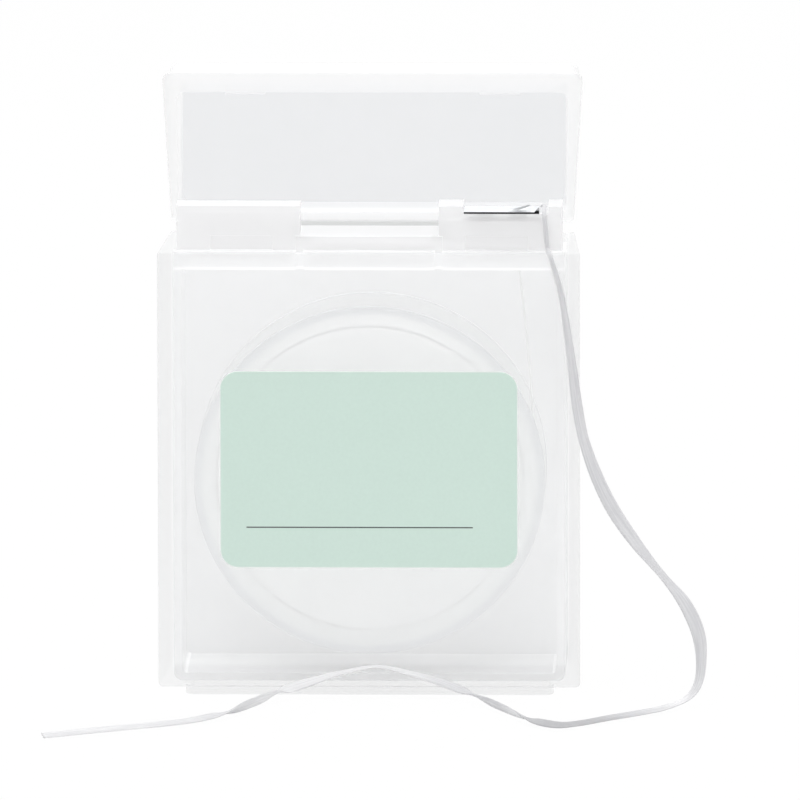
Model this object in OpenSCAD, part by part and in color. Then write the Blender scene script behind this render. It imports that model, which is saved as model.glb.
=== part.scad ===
// Flat flip-top dental floss dispenser, lid open, in millimetres.
// The origin is the centre of the foot's underside. X runs across the front, Y to the back, Z up.

/* [Case] */
// Width of the case across its front
case_front_w = 50; // [49:0.5:54]
// Width of the case across its back
case_back_w = 48; // [47.8:0.2:50]
// Depth of the case from front to back
case_d = 18; // [17.6:0.2:20]
// Height of the case's top edge above the table
case_h = 53; // [50:0.5:58]
// Thickness of the case's front wall
front_wall = 1.5; // [1.2:0.1:1.8]
// Thickness of the case's back wall
back_wall = 1.2; // [0.8:0.1:1.5]
// Thickness of the case's floor round the foot
floor_wall = 0.5; // [0.4:0.1:1.6]
// Width of the space inside the case
cavity_w = 46.4; // [45.6:0.2:46.6]
// Radius of the case's lower corners
case_corner_r = 0.6; // [0.4:0.1:1.6]
// Radius of the lower corners of the space inside
cavity_corner_r = 1; // [0.6:0.1:1.4]
// Height of the foot
foot_h = 1.1; // [0.6:0.1:1.6]
// Setback of the foot from the case's sides, at the front
foot_side_inset = 3.2; // [2:0.1:6]
// Setback of the foot from the case's front and back
foot_end_inset = 1; // [0.5:0.5:4]
// Radius of the foot's corners
foot_corner_r = 1.5; // [0.5:0.1:2.5]

/* [Spool carrier] */
// Gap between the carrier and the space in the case
carrier_gap = 0.1; // [0.05:0.05:0.2]
// Thickness of the carrier's sides and bottom
carrier_wall = 0.9; // [0.7:0.1:1.1]
// Thickness of the carrier's back
carrier_back = 1.2; // [0.8:0.1:1.5]
// Radius of the carrier's lower corners
carrier_corner_r = 1.5; // [1.4:0.1:5]
// Depth of the rear deck below the case's top edge
deck_drop = 1; // [0.6:0.1:1.4]
// Thickness of the deck
deck_t = 1.2; // [1:0.1:1.6]
// Setback of the two blocks from the case's front
block_setback = 2.7; // [2.7:0.1:3]
// Lean of the blocks' front faces over their height
block_draft = 0.7; // [0.5:0.1:1]
// Height of the two blocks above the case's top edge
block_h = 5.2; // [4.8:0.1:5.4]
// Width over both blocks
blocks_w = 45.6; // [44.8:0.2:45.8]
// Gap between the two blocks
block_gap = 16.4; // [15:0.2:17]
// Depth of the left block at its foot
left_block_d = 5.1; // [4.5:0.1:6]
// Depth of the right block at its foot
right_block_d = 6.2; // [6:0.1:6.6]
// Thickness of the walls of the blocks and the bridge
block_wall = 1; // [0.8:0.1:1.1]
// Height of the bridge between the blocks above the case's top edge
bridge_h = 1.7; // [1.4:0.1:2]
// Depth of the bridge
bridge_d = 8.7; // [7:0.1:9.5]
// Width of the slits in the front skirt
slit_w = 0.9; // [0.6:0.1:1.2]
// Radius of the guide hole for the floss
guide_r = 1; // [0.9:0.05:1.1]
// Distance of the guide hole from the middle
guide_x = 17.5; // [17.2:0.1:17.8]
// Distance of the guide hole behind the right block
guide_behind = 1.7; // [1.5:0.1:2]

/* [Cutter] */
// Length of the cutter
cutter_l = 8.9; // [8.6:0.1:9]
// Depth of the cutter from front to back
cutter_d = 5; // [4.8:0.1:5.2]
// Thickness of the steel
cutter_t = 0.2; // [0.15:0.05:0.3]
// Distance of the cutter's left end from the middle
cutter_x = 11.2; // [11:0.1:11.4]
// Depth of the cutter's seat below the top of the right block
seat_drop = 0.9; // [0.7:0.1:1.1]
// Room in the seat past the cutter's right end, where the floss lies
seat_room = 1.1; // [1:0.1:1.2]
// Length of the raised tooth
tooth_l = 2.8; // [2.4:0.1:3]
// Width of the raised tooth at its root
tooth_w = 1.6; // [1.2:0.1:2]
// Angle of the raised tooth
tooth_angle = 17; // [10:1:20]
// Height of the upturned corner
corner_h = 0.65; // [0.4:0.05:0.8]
// Depth of the cutter's legs
leg_h = 2.6; // [2:0.1:3]

/* [Lid] */
// Angle at which the lid stands open
lid_open = 90; // [60:1:100]
// Height of the lid at its front
lid_front_h = 10.4; // [9.8:0.1:11]
// Height of the lid at its hinge
lid_rear_h = 6; // [6:0.1:8]
// Thickness of the lid's top
lid_top_t = 1.2; // [0.8:0.1:1.3]
// Thickness of the lid's front wall at its rim
lid_front_wall = 2.3; // [2.2:0.05:2.3]
// Thickness of the lid's rear wall
lid_rear_wall = 1.1; // [0.9:0.1:1.4]
// Gap between the closed lid and the case
seam_gap = 0.4; // [0.35:0.05:0.6]
// Gap between the lid and the blocks at each side
lid_side_gap = 0.5; // [0.3:0.05:0.55]
// Height of the band round the lid's rim
rim_band_h = 1; // [0.6:0.1:1.5]
// Step from the rim band to the upper part of the lid, at its sides
rim_step = 0.6; // [0.4:0.1:0.7]
// Step from the rim band to the upper part at the lid's front
front_step = 0.1; // [0.05:0.05:0.3]
// Radius of the lid's top edges
lid_edge_r = 1; // [0.6:0.1:1.2]
// Length of each latch bump
bump_l = 4.8; // [4:0.1:5.5]
// How far each latch bump stands out
bump_out = 0.35; // [0.25:0.05:0.4]
// Distance of each latch bump from the middle
latch_x = 15.1; // [14.5:0.1:15.5]
// Depth of the latch pockets in the blocks
latch_pocket = 0.5; // [0.3:0.05:0.6]
// Room at each end of a bump in its pocket
latch_room = 1.3; // [0.8:0.1:1.4]

/* [Hinge] */
// Length of the living hinge
hinge_l = 40; // [30:0.5:44]
// Thickness of the living hinge
hinge_t = 0.35; // [0.25:0.05:0.4]
// Distance of the hinge line behind the case
hinge_back = 0.4; // [0.3:0.05:0.5]
// Distance of the hinge line above the closed lid's rim
hinge_up = 0.15; // [0.1:0.05:0.4]
// Overlap of the hinge strip on the case and on the lid
hinge_land = 1; // [0.6:0.1:1.5]
// Radius of the bend in the open hinge
hinge_bend_r = 1; // [0.8:0.05:1.2]

/* [Spool] */
// Radius of the spool's flanges
spool_r = 20.8; // [19.6:0.1:21.4]
// Thickness of each flange
flange_t = 0.8; // [0.6:0.1:1]
// Gap between the spool and the case's front wall
spool_front_gap = 1.5; // [1.4:0.05:1.7]
// Gap between the spool and the carrier's back
spool_rear_gap = 0.3; // [0.2:0.05:0.4]
// Gap between the spool and the carrier's bottom
spool_floor_gap = 2.1; // [0.8:0.1:2.6]
// Radius of the spool's core, on which the floss is wound
core_r = 9; // [7.5:0.1:11]
// Thickness of the core's wall and of the ribs in it
core_wall = 1.1; // [0.8:0.1:1.4]
// Number of ribs between the core and the hub
rib_count = 6; // [3:1:8]
// Radius of the axle
axle_r = 4; // [3.6:0.1:4.4]
// Running gap round the axle
axle_gap = 0.08; // [0.05:0.01:0.1]
// Radius of the bore in the axle
axle_bore_r = 2.8; // [2.2:0.1:3]
// How far the axle's snap lip stands out
lip_out = 0.4; // [0.2:0.05:0.5]
// Width of the slots that let the axle's tip spring in
axle_slot_w = 1; // [0.8:0.1:1.4]

/* [Floss] */
// Depth of the winding's surface below the rim of the flanges
rim_free = 1.9; // [1.4:0.1:3]
// Width of the wound floss
wound_w = 0.85; // [0.7:0.05:0.85]
// Height of the wound floss
wound_t = 0.5; // [0.4:0.05:0.6]
// Distance from one turn to the next
wound_pitch = 1.3; // [1.3:0.05:1.35]
// Number of turns on the surface of the pack
wound_turns = 7; // [4:1:7]
// Gap round the pack
pack_gap = 0.05; // [0.03:0.01:0.08]
// Width of the floss tape where it lies flat
tape_w = 1.6; // [1.4:0.05:1.7]
// Thickness of the floss tape
tape_t = 0.25; // [0.2:0.01:0.28]

/* [Label] */
// Width of the label
label_w = 35.2; // [28:0.2:38]
// Height of the label
label_h = 23.5; // [18:0.5:28]
// Radius of the label's corners
label_r = 2.1; // [1:0.1:4]
// Height of the label's middle above the table
label_z = 27.2; // [22:0.1:32]
// Thickness of the label
label_t = 0.1; // [0.08:0.01:0.15]

/* [Hidden] */
$fn = 64;
clip = 1;

y_front = -case_d / 2;
y_back = case_d / 2;

// Space inside the case and the carrier that fills it
cavity_floor = foot_h + floor_wall;
cavity_front = y_front + front_wall;
cavity_back = y_back - back_wall;
carrier_front = cavity_front + carrier_gap;
carrier_rear = cavity_back - carrier_gap;
carrier_w = cavity_w - 2 * carrier_gap;
deck_top = case_h - deck_drop;
deck_under = deck_top - deck_t;
block_front = y_front + block_setback;
block_top = case_h + block_h;
bridge_top = case_h + bridge_h;
right_block_rear = block_front + right_block_d;
guide_y = right_block_rear + guide_behind;

// Cutter and its seat
seat_top = block_top - seat_drop;
cutter_front = block_front + block_draft;
cutter_right = cutter_x + cutter_l;
leg_y = cutter_front + cutter_d - cutter_t;
leg_w = 2;
leg_gap = 0.1;
leg_places = [cutter_x + cutter_l * 0.15, cutter_x + cutter_l * 0.6];

// Spool on its axle
spool_front = cavity_front + spool_front_gap;
spool_back = carrier_rear - carrier_back - spool_rear_gap;
spool_z = cavity_floor + carrier_wall + spool_floor_gap + spool_r;
bore_r = axle_r + axle_gap;
lip_t = 0.6;
lip_gap = 0.15;
axle_tip = spool_front - lip_gap - lip_t;
axle_slot_l = 6;
pack_front = spool_front + flange_t + pack_gap;
pack_back = spool_back - flange_t - pack_gap;
winding_r = spool_r - rim_free - wound_t / 2;
winding_steps = 24;
pack_r = winding_r * cos(180 / winding_steps) - wound_t / 2 - pack_gap;
winding_start = (pack_front + pack_back - wound_turns * wound_pitch) / 2;

// Lid in its closed place, and the hinge line it turns about
lid_rim = case_h + seam_gap;
hinge_y = y_back + hinge_back;
hinge_z = lid_rim + hinge_up;
lid_d = case_d - hinge_back / 2;
lid_slope = atan((lid_front_h - lid_rear_h) / lid_d);
pocket_w = blocks_w + 2 * lid_side_gap;
pocket_rear_w = pocket_w - 0.5;
pocket_d = lid_d - lid_front_wall - lid_rear_wall;
pocket_r = 1;
bump_h = 0.8;
bump_up = 0.5;

// Points on a rounded four-sided outline that is fw wide at its front and bw wide at its back
function arc(cx, cy, r, a0, n = 6) = [for (i = [0:n]) [cx + r * cos(a0 + 90 * i / n), cy + r * sin(a0 + 90 * i / n)]];
function outline(fw, bw, y0, y1, r, rb) = concat(
    arc(fw / 2 - r, y0 + r, r, -90), arc(bw / 2 - rb, y1 - rb, rb, 0),
    arc(-bw / 2 + rb, y1 - rb, rb, 90), arc(-fw / 2 + r, y0 + r, r, 180));

// Upright outline with round lower corners, from z0 to z1, run along Y from y0 to y1
module tub(w, z0, z1, r, y0, y1) {
    translate([0, y1, 0]) rotate([90, 0, 0]) linear_extrude(y1 - y0) {
        translate([-w / 2, z0 + r]) square([w, z1 - z0 - r]);
        translate([-w / 2 + r, z0]) square([w - 2 * r, 2 * r]);
        for (side = [-1, 1]) translate([side * (w / 2 - r), z0 + r]) circle(r);
    }
}

// Box from its two ends along each axis
module block(x0, x1, y0, y1, z0, z1) {
    translate([x0, y0, z0]) cube([x1 - x0, y1 - y0, z1 - z0]);
}

// Ring or disc about the spool's axis, from y0 to y1
module turned(r, y0, y1) {
    translate([0, y1, spool_z]) rotate([90, 0, 0]) cylinder(r = r, h = y1 - y0, $fn = 96);
}

// Case

module outer_case() {
    color([0.95, 0.96, 0.97, 0.5]) {
        difference() {
            intersection() {
                translate([0, 0, foot_h]) linear_extrude(case_h - foot_h)
                    polygon([[-case_front_w / 2, y_front], [case_front_w / 2, y_front],
                             [case_back_w / 2, y_back], [-case_back_w / 2, y_back]]);
                tub(case_front_w, foot_h, case_h, case_corner_r, y_front, y_back);
            }
            tub(cavity_w, cavity_floor, case_h + clip, cavity_corner_r, cavity_front, cavity_back);
        }
        linear_extrude(foot_h)
            polygon(outline(case_front_w - 2 * foot_side_inset, case_back_w - 2 * foot_side_inset,
                            y_front + foot_end_inset, y_back - foot_end_inset, foot_corner_r, foot_corner_r));
    }
}

// Spool carrier

// Upright side of a block: its front face leans back by lean
module block_side(d, top, lean) {
    polygon([[block_front, deck_top], [block_front, case_h], [block_front + lean, top],
             [block_front + d, top], [block_front + d, deck_top]]);
}

module along_x(x0, x1) {
    translate([x0, 0, 0]) rotate([90, 0, 90]) linear_extrude(x1 - x0) children();
}

// Space under a block or the bridge, open below
module under(x0, x1, d, top, lean) {
    block(x0 + block_wall, x1 - block_wall, block_front + lean + block_wall, block_front + d - block_wall,
          deck_under - clip, top - block_wall);
}

module carrier_shell() {
    difference() {
        tub(carrier_w, cavity_floor, deck_top, carrier_corner_r, carrier_front, carrier_rear);
        tub(carrier_w - 2 * carrier_wall, cavity_floor + carrier_wall, deck_under,
            carrier_corner_r - carrier_wall, carrier_front - clip, carrier_rear - carrier_back);
    }
    block(-carrier_w / 2, carrier_w / 2, carrier_front, block_front + block_draft, deck_top - deck_t / 2, case_h);
}

module carrier_axle() {
    difference() {
        union() {
            turned(axle_r, axle_tip, carrier_rear - carrier_back);
            turned(axle_r + lip_out, axle_tip, axle_tip + lip_t);
        }
        turned(axle_bore_r, axle_tip - clip, carrier_rear - carrier_back);
        for (turn = [45, 135]) translate([0, axle_tip, spool_z]) rotate([0, turn, 0])
            cube([2 * (axle_r + lip_out + clip), 2 * axle_slot_l, axle_slot_w], center = true);
    }
}

module spool_carrier() {
    outer = blocks_w / 2;
    inner = block_gap / 2;
    color([0.97, 0.98, 0.98, 0.6]) {
        difference() {
            union() {
                carrier_shell();
                along_x(-outer, -inner) block_side(left_block_d, block_top, block_draft);
                along_x(inner, outer) block_side(right_block_d, block_top, block_draft);
                along_x(-inner - block_wall / 2, inner + block_wall / 2) block_side(bridge_d, bridge_top, 0);
            }
            under(-outer, -inner, left_block_d, block_top, block_draft);
            under(inner, outer, right_block_d, seat_top, block_draft);
            under(-inner, inner, bridge_d, bridge_top, 0);
            block(cutter_x - leg_gap, cutter_right + seat_room, block_front - clip, right_block_rear + clip,
                  seat_top, block_top + clip);
            for (side = [-1, 1]) {
                block(side * latch_x - bump_l / 2 - latch_room, side * latch_x + bump_l / 2 + latch_room,
                      block_front - clip, block_front + latch_pocket, case_h, bridge_top);
                block(side * inner - slit_w / 2, side * inner + slit_w / 2, carrier_front - clip, block_front,
                      deck_under - clip, case_h + clip);
            }
            for (x = leg_places) block(x - leg_gap, x + leg_w + leg_gap, leg_y - leg_gap, leg_y + cutter_t + leg_gap,
                                       seat_top - leg_h, seat_top + clip);
            translate([guide_x, guide_y, deck_under - clip]) cylinder(r = guide_r, h = deck_t + 2 * clip);
        }
        carrier_axle();
    }
}

// Cutter

module cutter() {
    tooth_x = cutter_right - tooth_l * cos(tooth_angle) - 1;
    tooth_y = cutter_front + tooth_w / 2 + 0.3;
    color([0.62, 0.64, 0.66]) {
        difference() {
            block(cutter_x, cutter_right, cutter_front, cutter_front + cutter_d, seat_top, seat_top + cutter_t);
            translate([tooth_x, tooth_y, seat_top - clip]) linear_extrude(cutter_t + 2 * clip)
                polygon([[0, -tooth_w / 2], [tooth_l, 0], [0, tooth_w / 2]]);
        }
        translate([tooth_x, tooth_y, seat_top]) rotate([0, -tooth_angle, 0]) linear_extrude(cutter_t)
            polygon([[-0.1, -tooth_w / 2 + 0.1], [tooth_l - 0.1, 0], [-0.1, tooth_w / 2 - 0.1]]);
        translate([0, cutter_front + cutter_t, 0]) rotate([90, 0, 0]) linear_extrude(cutter_t)
            polygon([[cutter_right - corner_h, seat_top + cutter_t / 2], [cutter_right, seat_top + cutter_t / 2],
                     [cutter_right, seat_top + cutter_t + corner_h]]);
        for (x = leg_places) block(x, x + leg_w, leg_y, leg_y + cutter_t, seat_top - leg_h + leg_gap, seat_top + cutter_t / 2);
    }
}

// Lid, drawn closed and then turned open about the hinge line

// One level of the lid's outside: up is its height at the front, inset and front_inset draw it in at the sides and
// at the front
module lid_level(up, inset, front_inset, slope) {
    translate([0, y_front, lid_rim + up]) rotate([-slope, 0, 0]) translate([0, -y_front, 0]) linear_extrude(0.01)
        polygon(outline(case_front_w - 2 * inset, case_back_w - 2 * inset, y_front + front_inset,
                        y_front + lid_d - inset / 4, 1, 0.6));
}

module lid_closed() {
    rim_front = y_front + lid_front_wall;
    rim_back = rim_front + pocket_d;
    difference() {
        union() {
            hull() {
                lid_level(0, 0, 0, 0);
                lid_level(rim_band_h, 0, 0, 0);
                lid_level(rim_band_h + 2 * rim_step, rim_step, front_step, 0);
            }
            hull() {
                lid_level(rim_band_h, rim_step, front_step, 0);
                for (a = [0:30:90]) let (drop = lid_edge_r * (1 - sin(a)), draw = lid_edge_r * (1 - cos(a)))
                    lid_level(lid_front_h - drop, rim_step + draw, front_step + draw, lid_slope);
            }
        }
        hull() {
            translate([0, 0, lid_rim - clip]) linear_extrude(clip)
                polygon(outline(pocket_w, pocket_rear_w, rim_front, rim_back, pocket_r, pocket_r));
            translate([0, y_front, lid_rim + lid_front_h - lid_top_t]) rotate([-lid_slope, 0, 0])
                translate([0, -y_front, 0]) linear_extrude(0.01)
                polygon(outline(pocket_w - 0.6, pocket_rear_w - 0.6, rim_front, rim_back, pocket_r, pocket_r));
        }
    }
    for (side = [-1, 1]) translate([side * latch_x - bump_l / 2, rim_front, lid_rim + bump_up])
        rotate([90, 0, 90]) linear_extrude(bump_l)
        polygon([[-0.4, 0], [bump_out / 2, 0], [bump_out, bump_h * 0.4], [bump_out, bump_h * 0.7], [-0.4, bump_h * 1.3]]);
}

module lid() {
    color([0.95, 0.96, 0.97, 0.5])
        translate([0, hinge_y, hinge_z]) rotate([-lid_open, 0, 0]) translate([0, -hinge_y, -hinge_z]) lid_closed();
}

// Living hinge: a thin strip from the case's back round to the open lid's rear wall

module living_hinge() {
    lid_under = hinge_z + hinge_back / 2 + hinge_back;
    bend_y = y_back + hinge_bend_r;
    bend_z = lid_under - hinge_bend_r;
    function bend(r) = [for (a = [180:-15:90]) [bend_y + r * cos(a), bend_z + r * sin(a)]];
    function turned_back(points) = [for (i = [len(points) - 1:-1:0]) points[i]];
    color([0.95, 0.96, 0.97, 0.5])
        along_x(-hinge_l / 2, hinge_l / 2) polygon(concat(
            [[y_back, case_h - hinge_land]], bend(hinge_bend_r), [[bend_y + hinge_land, lid_under]],
            [[bend_y + hinge_land, lid_under - hinge_t]], turned_back(bend(hinge_bend_r - hinge_t)),
            [[y_back + hinge_t, case_h - hinge_land]]));
}

// Spool and the floss on it

module spool() {
    color([0.93, 0.94, 0.94]) difference() {
        union() {
            turned(spool_r, spool_front, spool_front + flange_t);
            turned(spool_r, spool_back - flange_t, spool_back);
            difference() {
                turned(core_r, spool_front, spool_back);
                turned(core_r - core_wall, spool_front - clip, spool_back - flange_t);
            }
            turned(bore_r + core_wall, spool_front, spool_back);
            intersection() {
                turned(core_r - core_wall / 2, spool_front + flange_t, spool_back);
                for (i = [0:rib_count - 1]) translate([0, 0, spool_z]) rotate([0, i * 360 / rib_count, 0])
                    translate([0, spool_front, -core_wall / 2]) cube([core_r, spool_back - spool_front, core_wall]);
            }
        }
        difference() {
            turned(core_r - core_wall, spool_front - clip, spool_front + flange_t + clip / 2);
            turned(bore_r + core_wall, spool_front - 2 * clip, spool_front + flange_t + clip);
        }
        turned(bore_r, spool_front - clip, spool_back + clip);
    }
}

module floss_pack() {
    color([0.96, 0.96, 0.95]) difference() {
        turned(pack_r, pack_front, pack_back);
        turned(core_r + pack_gap, pack_front - clip, pack_back + clip);
    }
}

// Sweep: rings of points joined into one closed skin

module skin(rings) {
    n = len(rings[0]);
    last = (len(rings) - 1) * n;
    points = [for (ring = rings) for (p = ring) p];
    sides = [for (i = [0:len(rings) - 2]) for (j = [0:n - 1]) let (a = i * n + j, b = i * n + (j + 1) % n)
        each [[a, a + n, b], [b, a + n, b + n]]];
    ends = [for (j = [1:n - 2]) each [[0, j, j + 1], [last, last + j + 1, last + j]]];
    polyhedron(points, concat(sides, ends));
}

// Outer layer of the winding: one tape wound in a helix, with a straight stretch at each end

winding_last = wound_turns * winding_steps;
winding_section = [[1, 0], [0.6, 1], [-0.6, 1], [-1, 0], [-0.6, -1], [0.6, -1]] / 2;

function winding_angle(i) = min(max(i, 0), winding_last) * 360 / winding_steps;
function winding_place(i) = let (a = winding_angle(i), past = (i < 0 ? -wound_w : i > winding_last ? wound_w : 0))
    [winding_r * cos(a) - past * sin(a),
     winding_start + wound_pitch * a / 360,
     spool_z + winding_r * sin(a) + past * cos(a)];
function winding_ring(i) = let (a = winding_angle(i), c = winding_place(i), out = [cos(a), 0, sin(a)])
    [for (s = winding_section) c + out * s[1] * wound_t + [0, s[0] * wound_w, 0]];
winding_rings = [for (i = [-1:winding_last + 1]) winding_ring(i)];

module floss_winding() {
    least = min([for (i = [0:winding_last - winding_steps + 1]) for (j = [i + winding_steps - 1:i + winding_steps + 1])
        for (p = winding_rings[i]) for (q = winding_rings[j]) norm(p - q)]);
    echo(least_gap_between_turns = least);
    color([0.97, 0.97, 0.96]) skin(winding_rings);
}

// Free floss: a flat tape. Each row of a route is a place, the share of its width that the tape shows there, and the
// way its flat side faces

floss_x = cutter_right + seat_room / 2;
lead_end = [floss_x + 0.65, y_front, case_h + 0.2];

lead_route = [
    [[spool_r - 1.5, 4.6, spool_z + 1.8], 0.56, [1, 0, 0]],
    [[spool_r - 1.6, 4.3, spool_z + 5.6], 0.56, [1, 0, 0]],
    [[spool_r - 2, 3.6, spool_z + 11.6], 0.56, [1, 0, 0]],
    [[guide_x + 0.7, guide_y + 0.9, case_h - 9], 0.56, [1, 0, 0]],
    [[guide_x, guide_y, case_h - 2.5], 0.5, [1, 0, 0]],
    [[guide_x + 0.1, guide_y - 0.1, case_h - 0.7], 0.5, [1, 0, 0]],
    [[guide_x + 1.5, guide_y - 0.6, seat_top - 2], 0.44, [1, 1, 0]],
    [[floss_x - 0.3, right_block_rear + 0.4, seat_top], 0.31, [0, 1, 1]],
    [[floss_x, right_block_rear - 0.4, seat_top + 0.4], 0.31, [0, 0, 1]],
    [[floss_x, (block_front + right_block_rear) / 2, seat_top + 0.25], 0.31, [0, 0, 1]],
    [[floss_x, cutter_front + 0.2, seat_top + 0.2], 0.31, [0, 0, 1]],
    [[floss_x + 0.1, block_front + 0.3, seat_top - 0.2], 0.31, [0, -1, 1]],
    [[floss_x + 0.2, block_front + 0.1, seat_top - 1.5], 0.31, [0, -1, 0]],
    [[floss_x + 0.35, block_front - 0.1, case_h + 1.2], 0.31, [0, -1, 0]],
    [[floss_x + 0.45, block_front - 0.2, case_h + 0.2], 0.31, [0, -1, 1]],
    [[floss_x + 0.55, block_front - 0.9, case_h + 0.2], 0.31, [0, 0, 1]],
    [lead_end, 0.31, [0, 0, 1]]];

tail_route = [
    [lead_end, 0.31, [0, 0, 1]],
    [lead_end + [0.2, -0.4, -0.4], 0.31, [0, -1, 1]],
    [lead_end + [0.7, -0.5, -2], 0.38, [0, -1, 0]],
    [lead_end + [1.5, -0.6, -5], 0.44, [0, -1, 0]],
    [[23.5, -9.8, 44], 0.56, [0.2, -1, 0]],
    [[24.1, -10, 39.6], 0.69, [0.2, -1, 0]],
    [[24.7, -10.3, 35], 0.81, [0.3, -1, 0]],
    [[25.5, -10.7, 31], 0.81, [0.3, -1, 0]],
    [[27, -11.3, 26.8], 0.94, [0.1, -1, 0.1]],
    [[29, -11.8, 22.8], 1, [0, -1, 0.2]],
    [[31.8, -12.3, 18.8], 0.94, [0.6, -1, 0.2]],
    [[34.8, -12.8, 15.2], 0.75, [1, -1, 0.4]],
    [[37.4, -13.3, 12], 1, [0.4, -1, 0.3]],
    [[39, -14, 8.6], 1, [0, -1, 0]],
    [[39.4, -14.6, 5.4], 0.88, [-0.5, -1, 0]],
    [[39, -15.2, 2.6], 0.75, [-0.6, -1, 0.3]],
    [[37.6, -16.4, 1], 0.62, [-0.6, -1, 0.6]],
    [[34.9, -20.3, 0.6], 0.56, [0, -1, 1]],
    [[32, -23.8, 0.6], 0.56, [0, -1, 1]],
    [[28.6, -27.3, 0.6], 0.56, [0, -1, 1]],
    [[25.2, -31, 0.6], 0.56, [0, -1, 1]],
    [[22.6, -32.6, 0.7], 0.62, [0, -1, 1]],
    [[19.6, -29.6, 0.8], 0.81, [0.6, -1, 0.4]],
    [[16, -21.8, 0.9], 0.94, [1, -1, 0.3]],
    [[12.6, -14.4, 1], 0.88, [1, -1, 0.6]],
    [[9.2, -11.4, 1.9], 0.75, [0.2, -1, 1]],
    [[5, -10.5, 3], 0.62, [0, -0.4, 1]],
    [[1, -10.4, 3.8], 0.56, [0, -0.2, 1]],
    [[-3.4, -10.4, 3], 0.62, [0, -0.4, 1]],
    [[-7.2, -10.7, 1.9], 0.75, [-0.2, -1, 0.8]],
    [[-10.4, -12.2, 1.1], 0.88, [-0.8, -1, 0.4]],
    [[-13.4, -18.6, 0.9], 0.94, [-1, -1, 0.2]],
    [[-16.4, -25, 0.8], 0.88, [-0.8, -1, 0.4]],
    [[-20.6, -29.8, 0.6], 0.62, [-0.2, -1, 1]],
    [[-26, -33.4, 0.6], 0.56, [0, -1, 1]],
    [[-31.4, -36.6, 0.6], 0.56, [0, -1, 1]],
    [[-37.4, -40.4, 0.6], 0.56, [0, -1, 1]]];

function unit(v) = v / norm(v);
function mid_value(a, b, c, d) = (9 * (b + c) - a - d) / 16;
function route_row(route, i) = route[min(max(i, 0), len(route) - 1)];
function mid_row(route, i) = let (r = [for (k = [-1:2]) route_row(route, i + k)])
    [for (j = [0:2]) mid_value(r[0][j], r[1][j], r[2][j], r[3][j])];
function refined(route) = [for (i = [0:len(route) - 2]) each [route[i], mid_row(route, i)],
                           route[len(route) - 1]];
tape_section = [[1, 0.5], [0.7, 1], [-0.7, 1], [-1, 0.5], [-1, -0.5], [-0.7, -1], [0.7, -1], [1, -0.5]] / 2;

function tape_ring(route, i) = let (
        row = route[i],
        ahead = unit(route_row(route, i + 1)[0] - route_row(route, i - 1)[0]),
        face = unit(row[2] - ahead * (row[2] * ahead)),
        across = cross(ahead, face))
    [for (s = tape_section) row[0] + across * s[0] * row[1] * tape_w + face * s[1] * tape_t];

module tape(route) {
    skin([for (i = [0:len(route) - 1]) tape_ring(route, i)]);
}

module floss_lead() {
    color([0.97, 0.97, 0.96]) tape(lead_route);
}

module floss_tail() {
    color([0.97, 0.97, 0.96]) tape(refined(tail_route));
}

// Label

module label() {
    color([0.8, 0.882, 0.843]) translate([0, y_front, label_z]) rotate([90, 0, 0]) linear_extrude(label_t)
        polygon(outline(label_w, label_w, -label_h / 2, label_h / 2, label_r, label_r));
}

outer_case();
lid();
living_hinge();
spool_carrier();
cutter();
spool();
floss_pack();
floss_winding();
floss_lead();
floss_tail();
label();
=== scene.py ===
"""A flat flip-top dental floss dispenser with its lid open: a translucent case, a spool on its carrier, a
steel cutter and a free tape of white floss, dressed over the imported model."""

import math

import bmesh
import bpy
import numpy as np
from bpy.props import FloatProperty, PointerProperty, StringProperty
from mathutils import Matrix, Vector


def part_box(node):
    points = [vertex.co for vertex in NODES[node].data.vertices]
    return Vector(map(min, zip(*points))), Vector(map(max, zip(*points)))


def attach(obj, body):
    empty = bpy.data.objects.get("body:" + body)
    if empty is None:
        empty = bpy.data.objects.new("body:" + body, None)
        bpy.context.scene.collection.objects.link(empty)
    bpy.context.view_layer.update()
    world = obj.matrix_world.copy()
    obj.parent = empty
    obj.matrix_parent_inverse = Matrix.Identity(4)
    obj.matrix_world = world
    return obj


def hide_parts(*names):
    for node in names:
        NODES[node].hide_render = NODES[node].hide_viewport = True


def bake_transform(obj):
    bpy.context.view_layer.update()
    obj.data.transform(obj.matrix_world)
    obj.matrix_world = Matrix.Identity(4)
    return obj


bl_info = {
    "name": "Floss dispenser",
    "version": (1, 0, 0),
    "blender": (4, 5, 0),
    "location": "3D View > Sidebar > Floss",
    "description": "Builds a flip-top floss dispenser over its packed model",
    "category": "Add Mesh",
}

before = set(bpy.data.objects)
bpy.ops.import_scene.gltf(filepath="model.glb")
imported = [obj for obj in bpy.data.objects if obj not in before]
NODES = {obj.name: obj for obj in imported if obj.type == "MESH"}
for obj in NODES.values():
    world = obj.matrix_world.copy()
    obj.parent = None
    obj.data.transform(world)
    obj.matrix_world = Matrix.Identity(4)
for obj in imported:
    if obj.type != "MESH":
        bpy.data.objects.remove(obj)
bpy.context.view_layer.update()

MM = 0.001
CASE, LID, SPOOL = "case", "lid", "spool"

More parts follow.
